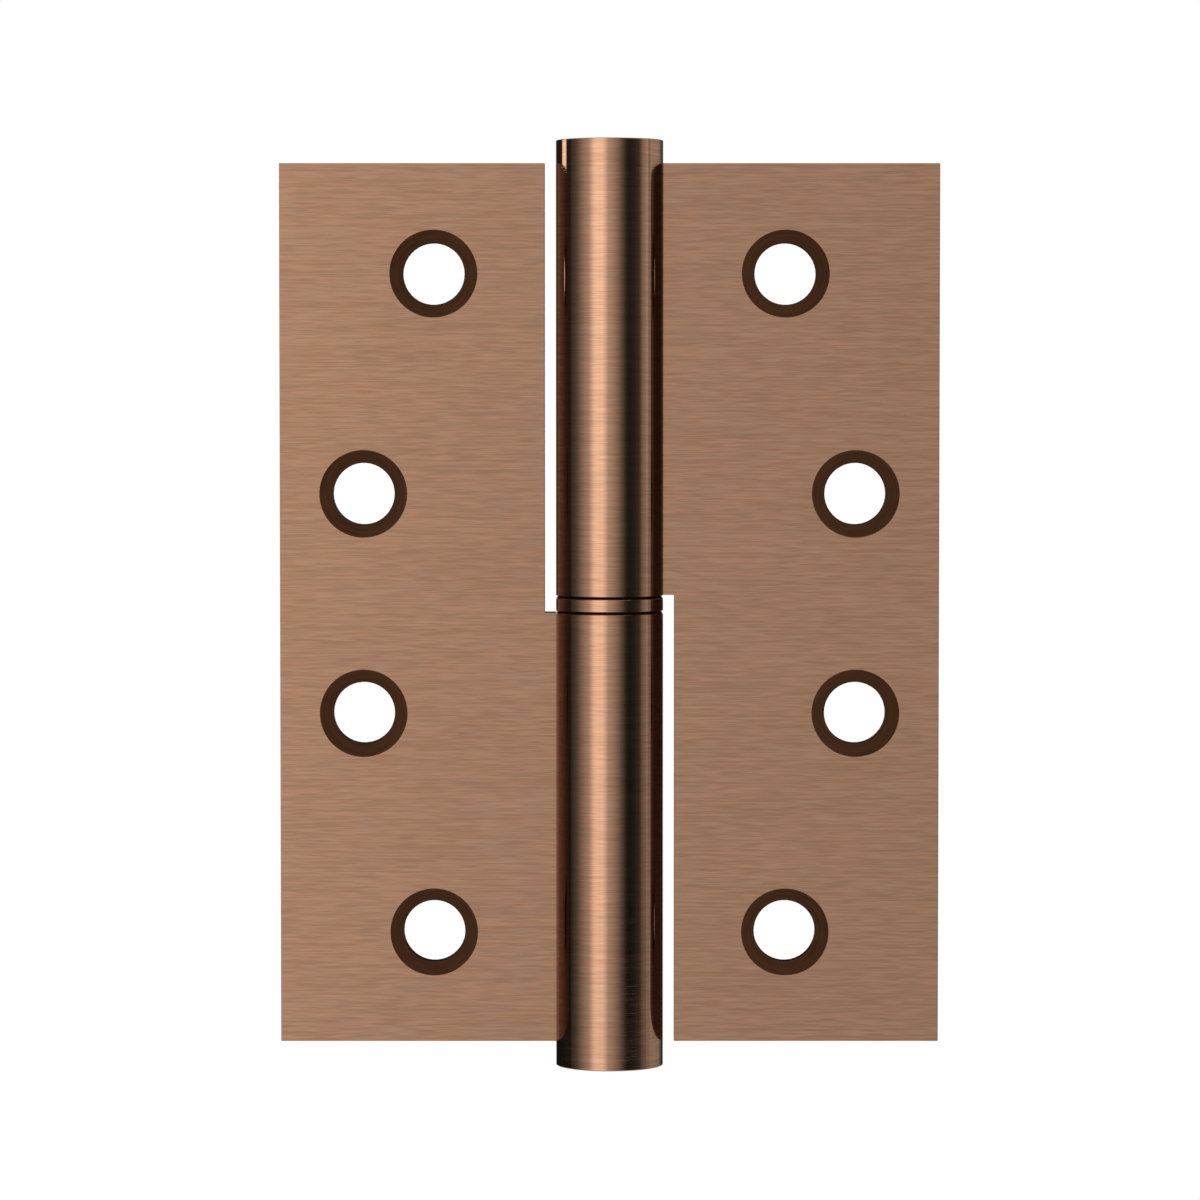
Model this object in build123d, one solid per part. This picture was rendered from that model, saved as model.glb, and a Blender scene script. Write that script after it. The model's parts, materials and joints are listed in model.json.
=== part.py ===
from build123d import *
from math import radians, tan
import os

# Lift-off butt hinge for a room door, open flat. The pin stands on the Z axis, the middle of
# the barrel is the origin, and the screw faces look towards -Y. Sizes are in millimetres.
# The frame leaf has the lower knuckle and the fixed pin. The door leaf has the upper knuckle,
# turns on the pin and lifts off it. Each leaf is one drawn profile, plate and knuckle together.

# Leaves
LEAF_HEIGHT = 100.0
OPEN_WIDTH = 75.0  # outer edge to outer edge, open flat
LEAF_THICKNESS = 3.0
CLOSED_GAP = 2.0  # screw face to screw face, shut
LEAF_EDGE_RADIUS = 0.08

# Knuckles
BARREL_DIAMETER = 12.2
BARREL_OVERHANG = 2.5  # past the leaf, at each end
KNUCKLE_GAP = 1.25  # from a leaf's inner edge to the other leaf's knuckle
WEB_RELIEF = 0.15  # the web stops this far short of its knuckle's inner face
BARREL_END_RADIUS = 0.1
JOINT_CHAMFER = 0.2  # on knuckles and washer, where it makes the two fine grooves

# Washer between the knuckles
WASHER_THICKNESS = 1.7
WASHER_CLEARANCE = 0.1  # radial, on the pin

# Pin, pressed into the frame leaf
PIN_DIAMETER = 7.0
PIN_CLEARANCE = 0.05  # radial, in the door leaf
PIN_REACH = 40.0  # above the washer
PIN_NOSE_LENGTH = 2.5
PIN_NOSE_TAPER = 20.0  # degrees, each side
PIN_NOSE_RADIUS = 0.6
PIN_FOOT_CHAMFER = 0.5
PIN_FOOT_GAP = 0.3  # above the bottom plug
BORE_LEAD_IN = 0.5

# Plugs pressed into the outer ends of the knuckles
PLUG_LENGTH = 5.0
PLUG_RIM_CHAMFER = 0.2
PLUG_FOOT_CHAMFER = 0.4

# Countersunk screw holes, two near the ends of each leaf and two further out in its middle
SCREW_BORE = 7.0
COUNTERSINK_DIAMETER = 10.0
COUNTERSINK_ANGLE = 90.0
END_HOLE_REACH = 20.0  # from the pin's axis
END_HOLE_SPACING = 75.0
MIDDLE_HOLE_REACH = 28.0
MIDDLE_HOLE_SPACING = 25.0

# Places that follow from the sizes above
FACE_Y = CLOSED_GAP / 2
BARREL_RADIUS = BARREL_DIAMETER / 2
BARREL_END_Z = LEAF_HEIGHT / 2 + BARREL_OVERHANG
JOINT_Z = WASHER_THICKNESS / 2
PRESSED_BORE = PIN_DIAMETER
RUNNING_BORE = PIN_DIAMETER + 2 * PIN_CLEARANCE
CUT_MARGIN = 1.0  # how far a cutter reaches past the face that it opens


def turned(*profile):
    """A solid turned on the Z axis from a closed profile of radius and height."""
    return revolve(Plane.XZ * make_face(Polyline(*profile, close=True)), Axis.Z)


def rims(solid):
    """The round edges of a turned solid, from the lowest to the highest."""
    return solid.edges().filter_by(GeomType.CIRCLE).sort_by(Axis.Z)


def leaf_plate():
    """The frame leaf's plate, notched beside the door leaf's knuckle."""
    outer_x = -OPEN_WIDTH / 2
    inner_x = -(BARREL_RADIUS + KNUCKLE_GAP)
    web_z = -(JOINT_Z + WEB_RELIEF)
    outline = Polyline(
        (outer_x, -LEAF_HEIGHT / 2),
        (0, -LEAF_HEIGHT / 2),
        (0, web_z),
        (inner_x, web_z),
        (inner_x, LEAF_HEIGHT / 2),
        (outer_x, LEAF_HEIGHT / 2),
        close=True,
    )
    screw_face = Plane.XZ.offset(-FACE_Y) * make_face(outline)
    plate = extrude(screw_face, -LEAF_THICKNESS)
    return fillet(plate.edges(), LEAF_EDGE_RADIUS)


def knuckle():
    """The frame leaf's knuckle before boring, with its outer end rounded."""
    barrel = turned(
        (0, -BARREL_END_Z),
        (BARREL_RADIUS, -BARREL_END_Z),
        (BARREL_RADIUS, -JOINT_Z - JOINT_CHAMFER),
        (BARREL_RADIUS - JOINT_CHAMFER, -JOINT_Z),
        (0, -JOINT_Z),
    )
    return fillet(rims(barrel)[0], BARREL_END_RADIUS)


def knuckle_bore(diameter):
    """Cutter for the bore through the frame leaf's knuckle, wider at the washer."""
    radius = diameter / 2
    return turned(
        (0, -BARREL_END_Z - CUT_MARGIN),
        (radius, -BARREL_END_Z - CUT_MARGIN),
        (radius, -JOINT_Z - BORE_LEAD_IN),
        (radius + BORE_LEAD_IN, -JOINT_Z),
        (radius + BORE_LEAD_IN, CUT_MARGIN - JOINT_Z),
        (0, CUT_MARGIN - JOINT_Z),
    )


def screw_hole():
    """Cutter for one countersunk hole, running along +Y from a screw face at the origin."""
    bore_radius = SCREW_BORE / 2
    sink_radius = COUNTERSINK_DIAMETER / 2
    slope = tan(radians(COUNTERSINK_ANGLE / 2))
    profile = Polyline(
        (0, -CUT_MARGIN),
        (sink_radius + CUT_MARGIN * slope, -CUT_MARGIN),
        (bore_radius, (sink_radius - bore_radius) / slope),
        (bore_radius, LEAF_THICKNESS + CUT_MARGIN),
        (0, LEAF_THICKNESS + CUT_MARGIN),
        close=True,
    )
    return revolve(make_face(profile), Axis.Y)


def screw_holes():
    """Cutters for the frame leaf's four holes."""
    rows = [(END_HOLE_REACH, END_HOLE_SPACING), (MIDDLE_HOLE_REACH, MIDDLE_HOLE_SPACING)]
    return [
        Pos(-reach, FACE_Y, end * spacing / 2) * screw_hole()
        for reach, spacing in rows
        for end in (-1, 1)
    ]


def leaf(bore):
    """One leaf in the frame leaf's place: plate and knuckle, bored and drilled."""
    return leaf_plate() + knuckle() - knuckle_bore(bore) - screw_holes()


def hinge_pin():
    """The pin from its pressed foot to its tapered nose."""
    radius = PIN_DIAMETER / 2
    foot_z = PLUG_LENGTH + PIN_FOOT_GAP - BARREL_END_Z
    tip_z = JOINT_Z + PIN_REACH
    tip_radius = radius - PIN_NOSE_LENGTH * tan(radians(PIN_NOSE_TAPER))
    pin = turned(
        (0, foot_z),
        (radius - PIN_FOOT_CHAMFER, foot_z),
        (radius, foot_z + PIN_FOOT_CHAMFER),
        (radius, tip_z - PIN_NOSE_LENGTH),
        (tip_radius, tip_z),
        (0, tip_z),
    )
    return fillet(rims(pin)[-2:], PIN_NOSE_RADIUS)


def thrust_washer():
    """The ring between the knuckles, chamfered round its outer edges."""
    bore_radius = PIN_DIAMETER / 2 + WASHER_CLEARANCE
    return turned(
        (bore_radius, -JOINT_Z),
        (BARREL_RADIUS - JOINT_CHAMFER, -JOINT_Z),
        (BARREL_RADIUS, JOINT_CHAMFER - JOINT_Z),
        (BARREL_RADIUS, JOINT_Z - JOINT_CHAMFER),
        (BARREL_RADIUS - JOINT_CHAMFER, JOINT_Z),
        (bore_radius, JOINT_Z),
    )


def bottom_plug(bore):
    """A plug pressed flush into the lower end of the frame leaf's bore."""
    radius = bore / 2
    inner_z = PLUG_LENGTH - BARREL_END_Z
    return turned(
        (0, -BARREL_END_Z),
        (radius - PLUG_RIM_CHAMFER, -BARREL_END_Z),
        (radius, PLUG_RIM_CHAMFER - BARREL_END_Z),
        (radius, inner_z - PLUG_FOOT_CHAMFER),
        (radius - PLUG_FOOT_CHAMFER, inner_z),
        (0, inner_z),
    )


# The door leaf and its plug are the frame leaf's, turned end for end, with the running bore
end_for_end = Rot(Y=180)
parts = {
    "frame_leaf": leaf(PRESSED_BORE),
    "door_leaf": end_for_end * leaf(RUNNING_BORE),
    "hinge_pin": hinge_pin(),
    "thrust_washer": thrust_washer(),
    "bottom_plug": bottom_plug(PRESSED_BORE),
    "top_plug": end_for_end * bottom_plug(RUNNING_BORE),
}

os.makedirs("parts", exist_ok=True)
for node, solid in parts.items():
    export_step(solid, f"parts/{node}.step")
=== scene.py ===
import json
import math

import bmesh
import bpy
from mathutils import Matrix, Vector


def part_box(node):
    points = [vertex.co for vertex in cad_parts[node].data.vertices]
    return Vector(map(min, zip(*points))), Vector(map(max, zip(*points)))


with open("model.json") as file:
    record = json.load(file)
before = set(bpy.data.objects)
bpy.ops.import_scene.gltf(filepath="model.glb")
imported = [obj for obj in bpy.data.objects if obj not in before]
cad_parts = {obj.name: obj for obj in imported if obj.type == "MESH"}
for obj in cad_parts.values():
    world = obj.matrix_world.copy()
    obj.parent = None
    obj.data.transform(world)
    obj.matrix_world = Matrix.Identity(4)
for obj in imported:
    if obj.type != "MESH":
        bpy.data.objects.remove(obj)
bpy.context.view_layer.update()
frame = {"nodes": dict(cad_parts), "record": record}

# The two leaves, frame side and door side. Each is one drawn brass profile, plate and knuckle
# together, bored, notched and countersunk. It is plated in copper, darkened all over, and brushed
# back, satin along the plate and brighter round the knuckle. Brown oxide stays in the countersinks;
# the black in the bores and grooves and the brown on the web edges are painted shade, partly oxide.
millimetre = 0.001
mounts = {mount["name"]: mount for mount in frame["record"]["mounts"]}
barrel_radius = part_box("thrust_washer")[1].x
barrel_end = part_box("door_leaf")[1].z
joint_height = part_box("thrust_washer")[1].z
bore_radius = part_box("top_plug")[1].x
leaf_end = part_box("frame_leaf")[1].z
leaf_thickness = 0.003
leaf_back = mounts["door_leaf_back"]["pos_m"][1]
leaf_front = leaf_back - leaf_thickness
knuckle_gap = 0.00125
notch_edge = barrel_radius + knuckle_gap
web_relief = 0.00015
web_end = joint_height + web_relief
groove_depth = 0.0002
groove_half_width = 0.00012
countersink_radius = 0.005
screw_bore_radius = mounts["door_leaf_end_screws"]["dims"]["hole_r_mm"] * millimetre
paint_margin = 0.00003  # allowance at the edge of a painted zone
hairline_length = 0.0023
hairline_width = 0.000085
hairline_depth = 0.00001
hairline_relief = 0.25  # share of that depth which shows
long_line = (9.0, 1.3)  # times as long and as wide as a short one
long_share = 0.38
cloud = (1.5, 9.0)  # the same, for the soft clouds behind the hairlines
marks_range = (0.33, 0.67)  # noise that counts as darkest and as lightest
marks_middle = 0.5
clouds_range = (0.25, 0.75)
copper_dark = (0.281, 0.154, 0.094, 1)
copper_light = (0.355, 0.202, 0.1285, 1)
copper_edge = (0.52, 0.54, 0.57, 1)
# brown: oxide in the countersinks, and painted shade on the web edges in the notches
brown_dark = (0.053, 0.0220, 0.0100, 1)
brown_light = (0.073, 0.0305, 0.0135, 1)
# near-black for bores, grooves and chamfers: oxide, and painted shade where shade falls in them
oxide_and_shade_black = (0.005, 0.0028, 0.0016, 1)
reddish = (1.028, 1.004, 0.985, 1)
olive = (0.972, 0.996, 1.015, 1)
plate_tone = 0.957  # times as light as the knuckle
knuckle_contrast = 0.75
knuckle_gloss = (0.075, 0.055)  # roughness, across the clouds
plate_gloss = (0.255, 0.245)
brush_smear = 0.9
across_brush = 0.25  # turns
oxide_and_shade_gloss = 0.7
oxide_and_shade_shine = 0.04


def put(tree, kind, inputs=None, **settings):
    """Adds a shader node. An input takes a plain value or another node's output."""
    node = tree.nodes.new("ShaderNode" + kind)
    for name, value in settings.items():
        setattr(node, name, value)
    for name, value in (inputs or {}).items():
        if isinstance(value, bpy.types.NodeSocket):
            tree.links.new(value, node.inputs[name])
        else:
            node.inputs[name].default_value = value
    return node


def calc(tree, operation, *values):
    """The result of one Math node."""
    return put(tree, "Math", dict(enumerate(values)), operation=operation).outputs[0]


def point(tree, x, y, z):
    """A vector made from three values."""
    return put(tree, "CombineXYZ", {"X": x, "Y": y, "Z": z}).outputs[0]


def length(tree, x, y):
    """How far a point is from the middle, by its two distances."""
    flat = point(tree, x, y, 0.0)
    return put(tree, "VectorMath", {0: flat}, operation="LENGTH").outputs["Value"]


def both(tree, *masks):
    """A mask that is 1 only where all the given masks are."""
    result = masks[0]
    for mask in masks[1:]:
        result = calc(tree, "MULTIPLY", result, mask)
    return result


def either(tree, *masks):
    """A mask that is 1 where any of the given masks is."""
    result = masks[0]
    for mask in masks[1:]:
        result = calc(tree, "MAXIMUM", result, mask)
    return result


def between(tree, value, low, high):
    """A mask that is 1 where a value lies between two limits."""
    return both(tree, calc(tree, "GREATER_THAN", value, low), calc(tree, "LESS_THAN", value, high))


def spread(tree, value, low, high, out_low=0.0, out_high=1.0):
    """A value carried smoothly from one range to another, and held inside it."""
    inputs = {"Value": value, "From Min": low, "From Max": high, "To Min": out_low, "To Max": out_high}
    return put(tree, "MapRange", inputs, interpolation_type="SMOOTHSTEP").outputs["Result"]


# The three that follow give a Mix node's sockets by number, because their names repeat
def mix_values(tree, share, first, second):
    """Two values mixed, the second by the given share."""
    return put(tree, "Mix", {0: share, 2: first, 3: second}, data_type="FLOAT").outputs[0]


def mix_vectors(tree, share, first, second):
    """Two vectors mixed, the second by the given share."""
    return put(tree, "Mix", {0: share, 4: first, 5: second}, data_type="VECTOR").outputs[1]


def mix_colours(tree, share, first, second, way="MIX"):
    """Two colours mixed, the second by the given share."""
    inputs = {0: share, 6: first, 7: second}
    return put(tree, "Mix", inputs, data_type="RGBA", blend_type=way).outputs[2]


def new_group(name, inputs, outputs):
    """An empty shader group with named sockets: the tree, what it is given and what it gives back."""
    group = bpy.data.node_groups.new(name, "ShaderNodeTree")
    for way, sockets in (("INPUT", inputs), ("OUTPUT", outputs)):
        for label, kind in sockets.items():
            group.interface.new_socket(label, in_out=way, socket_type="NodeSocket" + kind)
    given = group.nodes.new("NodeGroupInput").outputs
    result = group.nodes.new("NodeGroupOutput").inputs
    return group, given, result


def make_brush_marks():
    """Group: straight hairlines in rows across the place's Z, and the soft clouds behind them."""
    sockets = {"Place": "Vector", "Length": "Float", "Width": "Float"}
    group, given, result = new_group("brush_marks", sockets, {"Marks": "Float", "Clouds": "Float"})
    axes = put(group, "SeparateXYZ", {"Vector": given["Place"]}).outputs
    row_step = 7.618  # far enough apart in the noise that neighbouring rows are unlike

    def noise(longer, wider, in_rows):
        """Noise drawn out along the brush, cut into separate rows or not."""
        along = calc(group, "DIVIDE", 1 / longer, given["Length"])
        height = calc(group, "DIVIDE", calc(group, "DIVIDE", axes["Z"], wider), given["Width"])
        if in_rows:
            height = calc(group, "MULTIPLY", calc(group, "FLOOR", height), row_step)
        flat = [calc(group, "MULTIPLY", axes[way], along) for way in ("X", "Y")]
        place = point(group, *flat, height)
        return put(group, "TexNoise", {"Vector": place, "Scale": 1.0, "Detail": 0.0}).outputs["Fac"]

    marks = mix_values(group, long_share, noise(1.0, 1.0, True), noise(*long_line, True))
    group.links.new(marks, result["Marks"])
    group.links.new(noise(*cloud, False), result["Clouds"])
    return group


def make_antique_copper():
    """Group: how the plating looks, with brown and black coats by their masks, which are oxide and
    painted shade.
    """
    sockets = dict.fromkeys(("Marks", "Clouds", "Tone", "Flat", "Brown", "Black"), "Float")
    looks = {"Colour": "Color", "Roughness": "Float", "Metallic": "Float"}
    group, given, result = new_group("antique_copper", sockets, looks)
    brushed = spread(group, given["Marks"], *marks_range)
    colour = mix_colours(group, brushed, copper_dark, copper_light)
    browned = mix_colours(group, brushed, brown_dark, brown_light)
    # The brown and the black laid over the plating: oxide, and painted shade in the notches, bores and
    # grooves
    colour = mix_colours(group, given["Brown"], colour, browned)
    colour = mix_colours(group, given["Black"], colour, oxide_and_shade_black)
    tint = mix_colours(group, spread(group, given["Clouds"], *clouds_range), reddish, olive)
    colour = mix_colours(group, 1.0, colour, tint, "MULTIPLY")
    toned = put(group, "VectorMath", {0: colour, "Scale": given["Tone"]}, operation="SCALE")
    group.links.new(toned.outputs["Vector"], result["Colour"])
    shiny = spread(group, given["Clouds"], *clouds_range, *knuckle_gloss)
    satin = spread(group, given["Clouds"], *clouds_range, *plate_gloss)
    gloss = mix_values(group, given["Flat"], shiny, satin)
    dull = either(group, given["Brown"], given["Black"])
    group.links.new(mix_values(group, dull, gloss, oxide_and_shade_gloss), result["Roughness"])
    group.links.new(calc(group, "SUBTRACT", 1.0, dull), result["Metallic"])
    return group


brush_marks = make_brush_marks()
antique_copper = make_antique_copper()


def new_metal(name, edge_colour):
    """A bare metal material: the material, its tree and shader, and the object's X, Y and Z."""
    material = bpy.data.materials.new(name)
    material.use_nodes = True
    tree = material.node_tree
    shader = tree.nodes["Principled BSDF"]
    shader.inputs["Metallic"].default_value = 1.0
    shader.inputs["Specular Tint"].default_value = edge_colour
    coordinates = put(tree, "TexCoord").outputs["Object"]
    return material, tree, shader, put(tree, "SeparateXYZ", {"Vector": coordinates}).outputs


def draw_marks(tree, shader, place, long, wide, relief):
    """Brush or tool marks of a given size on a shader, raised in its bump."""
    sizes = {"Place": place, "Length": long, "Width": wide}
    marks = put(tree, "Group", sizes, node_tree=brush_marks).outputs
    bump = put(tree, "Bump", {"Strength": relief, "Distance": hairline_depth, "Height": marks["Marks"]})
    tree.links.new(bump.outputs["Normal"], shader.inputs["Normal"])
    return marks


def plate_copper(tree, shader, place, black, brown=0.0, flat=0.0, tone=1.0, contrast=1.0):
    """Antique copper on a shader: its oxide and painted-shade masks, satin flats, tone and hairline
    contrast.
    """
    marks = draw_marks(tree, shader, place, hairline_length, hairline_width, hairline_relief)
    softened = mix_values(tree, contrast, marks_middle, marks["Marks"])
    inputs = {
        "Marks": softened,
        "Clouds": marks["Clouds"],
        "Tone": tone,
        "Flat": flat,
        "Brown": brown,
        "Black": black,
    }
    plating = put(tree, "Group", inputs, node_tree=antique_copper).outputs
    tree.links.new(plating["Colour"], shader.inputs["Base Color"])
    tree.links.new(plating["Roughness"], shader.inputs["Roughness"])
    tree.links.new(plating["Metallic"], shader.inputs["Metallic"])
    shader.inputs["Specular IOR Level"].default_value = oxide_and_shade_shine
    shader.inputs["Anisotropic"].default_value = brush_smear
    shader.inputs["Anisotropic Rotation"].default_value = across_brush


def groove_mask(tree, radius, height):
    """1 down in the fine grooves that the chamfers make beside the washer, which are painted black as
    shade.
    """
    near = between(tree, height, joint_height - groove_half_width, joint_height + groove_half_width)
    bottom = barrel_radius - groove_depth - paint_margin
    return both(tree, near, between(tree, radius, bottom, barrel_radius + paint_margin))


def nearest_hole(tree, across, height):
    """How far the middle of the nearest screw hole is, looking at the leaf's face."""
    distances = []
    for name in ("door_leaf_end_screws", "door_leaf_middle_screws"):
        aside = calc(tree, "SUBTRACT", across, mounts[name]["pos_m"][0])
        spacing = mounts[name]["dims"]["spacing_y_mm"] * millimetre
        above = calc(tree, "SUBTRACT", height, spacing / 2)
        distances.append(length(tree, aside, above))
    return calc(tree, "MINIMUM", *distances)


def make_leaf_finish():
    """Brushed copper with brown oxide in the countersinks, and painted shade: brown on the web edges,
    black with oxide in the bores and grooves.
    """
    material, tree, shader, axes = new_metal("brushed_antique_copper", copper_edge)
    across = calc(tree, "ABSOLUTE", axes["X"])
    height = calc(tree, "ABSOLUTE", axes["Z"])
    radius = length(tree, axes["X"], axes["Y"])
    hole = nearest_hole(tree, across, height)

    off_barrel = calc(tree, "GREATER_THAN", radius, barrel_radius + paint_margin)
    on_barrel = calc(tree, "SUBTRACT", 1.0, off_barrel)
    in_thickness = between(tree, axes["Y"], leaf_front + paint_margin, leaf_back - paint_margin)
    knuckle_face = both(tree, on_barrel, either(
        tree,
        calc(tree, "GREATER_THAN", height, barrel_end - paint_margin),
        calc(tree, "LESS_THAN", height, joint_height + paint_margin),
    ))
    end_edge = both(tree, off_barrel, calc(tree, "GREATER_THAN", height, leaf_end - paint_margin))
    in_sink = both(tree, calc(tree, "LESS_THAN", hole, countersink_radius + paint_margin), in_thickness)
    in_hole = both(tree, calc(tree, "LESS_THAN", hole, screw_bore_radius + paint_margin), in_thickness)
    # The web's top edge, deep in each notch: painted shade in brown, partly oxide on a sawn face
    web_edge = both(
        tree,
        in_thickness,
        calc(tree, "LESS_THAN", height, web_end + paint_margin),
        between(tree, across, barrel_radius, notch_edge - paint_margin),
    )
    in_bore = calc(tree, "LESS_THAN", radius, bore_radius + paint_margin)

    place = point(tree, axes["X"], axes["Y"], axes["Z"])
    for mask, place_there in (
        (knuckle_face, point(tree, axes["X"], axes["Y"], radius)),
        (end_edge, point(tree, axes["X"], axes["Z"], axes["Y"])),
        (in_sink, point(tree, axes["X"], axes["Z"], hole)),
    ):
        place = mix_vectors(tree, mask, place, place_there)

    tone = mix_values(tree, off_barrel, 1.0, plate_tone)
    contrast = mix_values(tree, off_barrel, knuckle_contrast, 1.0)
    # Brown oxide in the countersinks and painted shade in brown on the web edges; black painted shade,
    # with oxide, in the bores and grooves
    brown = either(tree, in_sink, web_edge)
    black = either(tree, in_hole, in_bore, groove_mask(tree, radius, height))
    plate_copper(tree, shader, place, black, brown, off_barrel, tone, contrast)
    return material


leaf_finish = make_leaf_finish()
for node in ("frame_leaf", "door_leaf"):
    frame["nodes"][node].data.materials[0] = leaf_finish

# The pin: steel rod ground to size, with a taper turned on its nose and a chamfered foot. It is
# pressed into the frame leaf's knuckle, and the door leaf turns on it and lifts off over its nose.
pin_foot, pin_tip = (corner.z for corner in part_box("hinge_pin"))
nose_length = 0.0025
grind_length = 0.006
grind_width = 0.00005
grind_relief = 0.15
turned_width = 0.00014
steel_dark = (0.45, 0.44, 0.425, 1)
steel_light = (0.58, 0.57, 0.55, 1)
steel_edge = (0.95, 0.95, 0.95, 1)
steel_gloss = (0.30, 0.20)


def make_pin_finish():
    """Ground steel, with fine lines round the shank and coarser ones on the turned nose."""
    material, tree, shader, axes = new_metal("ground_steel", steel_edge)
    on_nose = calc(tree, "GREATER_THAN", axes["Z"], pin_tip - nose_length)
    on_face = either(
        tree,
        calc(tree, "GREATER_THAN", axes["Z"], pin_tip - paint_margin),
        calc(tree, "LESS_THAN", axes["Z"], pin_foot + paint_margin),
    )
    fine_way = mix_values(tree, on_face, axes["Z"], length(tree, axes["X"], axes["Y"]))
    place = point(tree, axes["X"], axes["Y"], fine_way)
    width = mix_values(tree, on_nose, grind_width, turned_width)
    marks = draw_marks(tree, shader, place, grind_length, width, grind_relief)
    ground = spread(tree, marks["Marks"], *marks_range)
    tree.links.new(mix_colours(tree, ground, steel_dark, steel_light), shader.inputs["Base Color"])
    gloss = spread(tree, marks["Clouds"], *clouds_range, *steel_gloss)
    tree.links.new(gloss, shader.inputs["Roughness"])
    return material


frame["nodes"]["hinge_pin"].data.materials[0] = make_pin_finish()

# The plugs: short turned brass slugs, plated as the leaves are and pressed flush into the outer
# ends of the knuckles. Fine turning rings show on their faces, and the chamfer round them is painted
# black.
plug_rim = 0.0002


def make_plug_finish():
    """Turned copper faces with a black rim, and black sides down in the bore."""
    material, tree, shader, axes = new_metal("turned_antique_copper", copper_edge)
    radius = length(tree, axes["X"], axes["Y"])
    rim = calc(tree, "GREATER_THAN", radius, bore_radius - plug_rim)
    plate_copper(tree, shader, point(tree, axes["X"], axes["Y"], radius), rim, flat=1.0)
    return material


plug_finish = make_plug_finish()
for node in ("bottom_plug", "top_plug"):
    frame["nodes"][node].data.materials[0] = plug_finish

# The washer: a turned brass ring that lies loose on the pin between the knuckles and carries the
# door. It is plated and brushed round with the barrel; its bore and chamfers are black: oxide, and in
# the grooves painted shade.
washer_bore = 0.0036


def make_washer_finish():
    """Brushed copper round the ring and turned copper on its faces, black in the bore and chamfers."""
    material, tree, shader, axes = new_metal("washer_antique_copper", copper_edge)
    height = calc(tree, "ABSOLUTE", axes["Z"])
    radius = length(tree, axes["X"], axes["Y"])
    on_face = calc(tree, "GREATER_THAN", height, joint_height - paint_margin)
    place = point(tree, axes["X"], axes["Y"], mix_values(tree, on_face, axes["Z"], radius))
    in_bore = calc(tree, "LESS_THAN", radius, washer_bore + paint_margin)
    # black in the bore, and painted shade, with oxide, in the grooves
    black = either(tree, in_bore, groove_mask(tree, radius, height))
    plate_copper(tree, shader, place, black, contrast=knuckle_contrast)
    return material


frame["nodes"]["thrust_washer"].data.materials[0] = make_washer_finish()

# The floor: a round white table top, set well below the hinge so that its edge and its shadow stay
# out of the camera's view.
floor_height = -0.24
floor_radius = 0.32
floor_white = (0.8, 0.8, 0.8, 1)
floor_lift = 0.25
white = (1, 1, 1, 1)
circle_sides = 96
floor_mesh = bpy.data.meshes.new("floor")
shape = bmesh.new()
bmesh.ops.create_circle(shape, cap_ends=True, segments=circle_sides, radius=floor_radius)
bmesh.ops.translate(shape, verts=shape.verts, vec=(0, 0, floor_height))
shape.to_mesh(floor_mesh)
shape.free()
floor = bpy.data.objects.new("floor", floor_mesh)
bpy.context.scene.collection.objects.link(floor)

floor_paint = bpy.data.materials.new("floor_paint")
floor_paint.use_nodes = True
tree = floor_paint.node_tree
tree.nodes.remove(tree.nodes["Principled BSDF"])
paint = put(tree, "BsdfDiffuse", {"Color": floor_white})
rays = put(tree, "LightPath").outputs
seen = either(tree, rays["Is Camera Ray"], rays["Is Glossy Ray"], rays["Is Transmission Ray"])
lift = put(tree, "Emission", {"Color": white, "Strength": calc(tree, "MULTIPLY", seen, floor_lift)})
painted = put(tree, "AddShader", {0: paint.outputs[0], 1: lift.outputs[0]})
tree.links.new(painted.outputs[0], tree.nodes["Material Output"].inputs["Surface"])
floor_mesh.materials.append(floor_paint)

# The studio: a white sky, and round the hinge a tall ring of soft light panels with dark gaps
# between them, which close to an even light above and below. Only the metal's reflections see it.
sky = bpy.data.worlds.new("white_sky")
sky.use_nodes = True
sky_light = sky.node_tree.nodes["Background"].inputs
sky_light["Color"].default_value = white
sky_light["Strength"].default_value = 1.0
bpy.context.scene.world = sky

ring_radius = 2.5
ring_height = 5.0
ring_mesh = bpy.data.meshes.new("panel_ring")
shape = bmesh.new()
rim = bmesh.ops.create_circle(shape, segments=circle_sides, radius=ring_radius)["verts"]
bmesh.ops.translate(shape, verts=rim, vec=(0, 0, -ring_height / 2))
raised = bmesh.ops.extrude_edge_only(shape, edges=shape.edges)["geom"]
raised = [corner for corner in raised if isinstance(corner, bmesh.types.BMVert)]
bmesh.ops.translate(shape, verts=raised, vec=(0, 0, ring_height))
bmesh.ops.contextual_create(shape, geom=raised)
shape.to_mesh(ring_mesh)
shape.free()
ring = bpy.data.objects.new("panel_ring", ring_mesh)
bpy.context.scene.collection.objects.link(ring)
ring.visible_camera = False
ring.visible_diffuse = False
ring.visible_shadow = False
ring.visible_transmission = False

# Each panel's left and right edge in degrees from the camera's side, how soft each edge is, its
# level, and the slopes from the hinge between which it fades in
full_height = (-90, -89)
panels = {
    "front": (-61, 16, 29, 25, 1.185, full_height),
    "front_lamp": (-38, -9, 9.5, 8.5, 1.32, full_height),
    "left_strip": (-91.5, -78, 1.5, 6, 0.075, full_height),
    "left_lamp": (-122, -107, 2, 2, 2.80, (-3.5, -0.5)),
    "right": (73, 95.5, 9, 8, 0.67, (-25, 8)),
    "right_lamp": (86.3, 90, 1.5, 2, 0.31, full_height),
    "right_glow": (58, 100, 12, 6, 0.07, full_height),
    "right_foot": (91, 98, 3, 4, 0.33, (-4, -8)),
    "right_back": (97.5, 142, 5, 16, 0.82, full_height),
}

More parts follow.
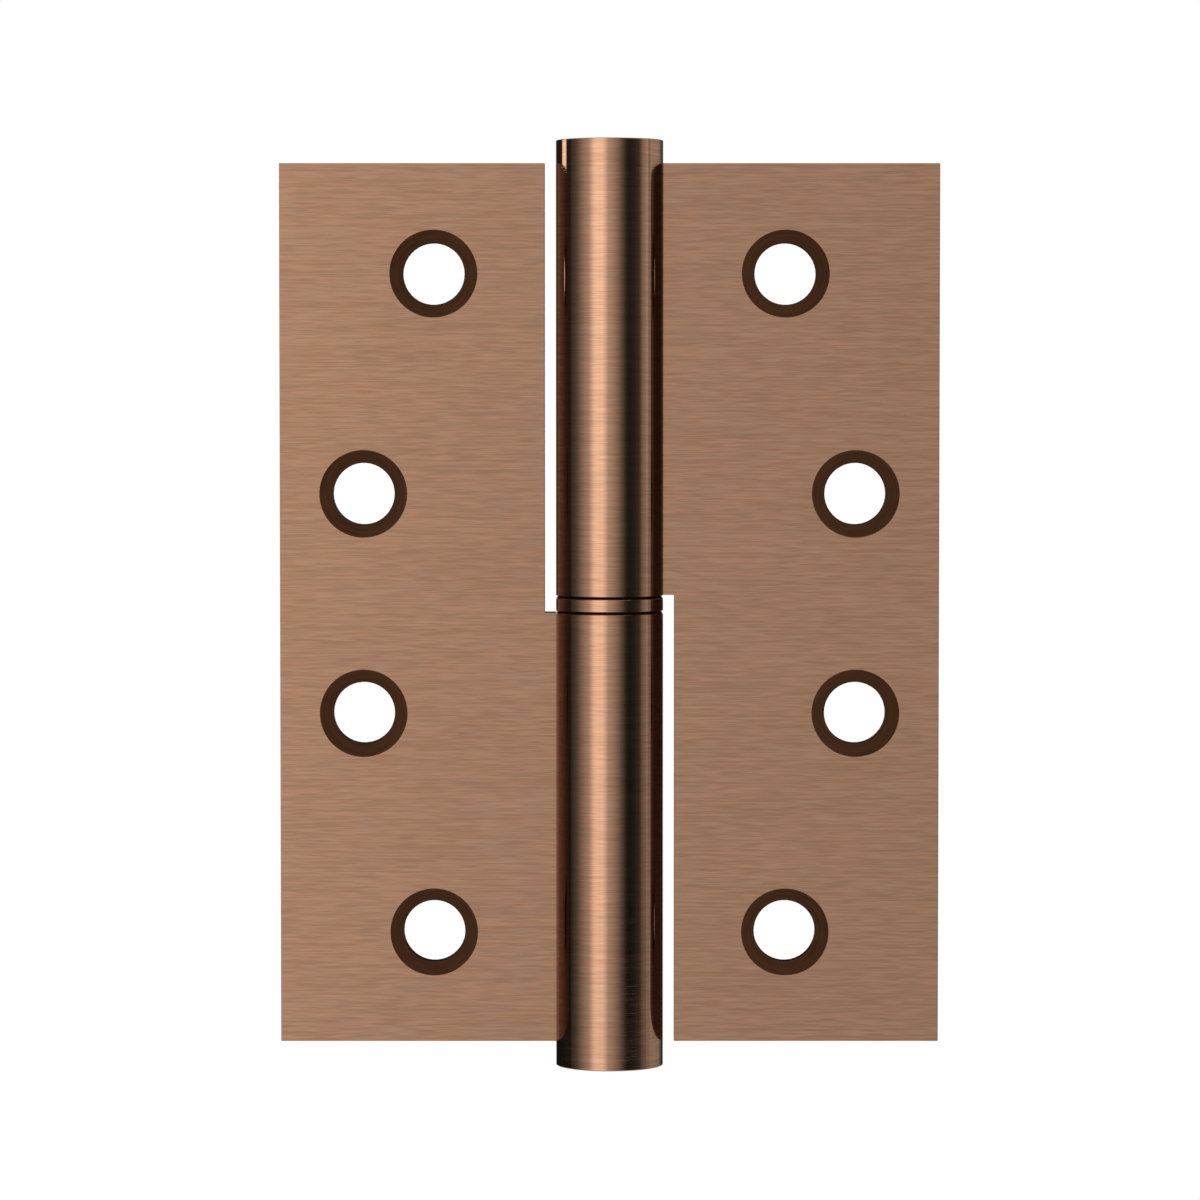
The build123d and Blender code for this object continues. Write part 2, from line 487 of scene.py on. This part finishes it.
# The dark gaps' level low down and high up, the panel behind the hinge, how the whole ring brightens
# upwards, and the even light that takes over further below and above
gap_low, gap_high = 0.026, 0.058
gap_tint = (0.85, 1.0, 1.12, 1)
tint_fades = 0.35
back_level = 1.25
back_from, back_full = 158, 172
low_level, high_level = 0.89, 1.045
low_slope, high_slope = -12, 5
even_level = 1.0
even_share = 0.75
even_below = (-15, -10)
even_above = (12, 20)
ring_light = bpy.data.materials.new("panel_light")
ring_light.use_nodes = True
ring_light.cycles.emission_sampling = "NONE"
tree = ring_light.node_tree
tree.nodes.remove(tree.nodes["Principled BSDF"])
axes = put(tree, "SeparateXYZ", {"Vector": put(tree, "TexCoord").outputs["Object"]}).outputs
angle = calc(tree, "DEGREES", calc(tree, "ARCTAN2", axes["X"], calc(tree, "MULTIPLY", axes["Y"], -1.0)))
slope = calc(tree, "DEGREES", calc(tree, "ARCTAN2", axes["Z"], length(tree, axes["X"], axes["Y"])))
gap_level = spread(tree, slope, low_slope, high_slope, gap_low, gap_high)
level = spread(tree, calc(tree, "ABSOLUTE", angle), back_from, back_full, gap_level, back_level)
for left, right, left_soft, right_soft, bright, fades_in in panels.values():
    rise = spread(tree, angle, left - left_soft, left + left_soft, 0.0, bright)
    fall = spread(tree, angle, right - right_soft, right + right_soft, 1.0, 0.0)
    level = calc(tree, "ADD", level, both(tree, rise, fall, spread(tree, slope, *fades_in)))
level = calc(tree, "MULTIPLY", level, spread(tree, slope, low_slope, high_slope, low_level, high_level))
for ends in ((*even_below, even_share, 0.0), (*even_above, 0.0, even_share)):
    level = mix_values(tree, spread(tree, slope, *ends), level, even_level)
tint = mix_colours(tree, spread(tree, level, 0.0, tint_fades), gap_tint, white)
glow = put(tree, "Emission", {"Color": tint, "Strength": level})
tree.links.new(glow.outputs[0], tree.nodes["Material Output"].inputs["Surface"])
ring_mesh.materials.append(ring_light)

# The camera: a long lens, square to the screw faces and level with the upper part of the hinge. It
# is tipped down a little, so that the whole hinge stands in the middle of the picture.
camera_data = bpy.data.cameras.new("camera")
camera_data.sensor_width = 36.0
camera_data.lens = 140.75
camera_place = (-0.001085, -0.5325, 0.022)
camera_tip = 2.316  # degrees
camera = bpy.data.objects.new("camera", camera_data)
camera.location = camera_place
camera.rotation_euler = (math.radians(90 - camera_tip), 0, 0)
bpy.context.scene.collection.objects.link(camera)
bpy.context.scene.camera = camera
bpy.context.scene.view_settings.view_transform = "Standard"
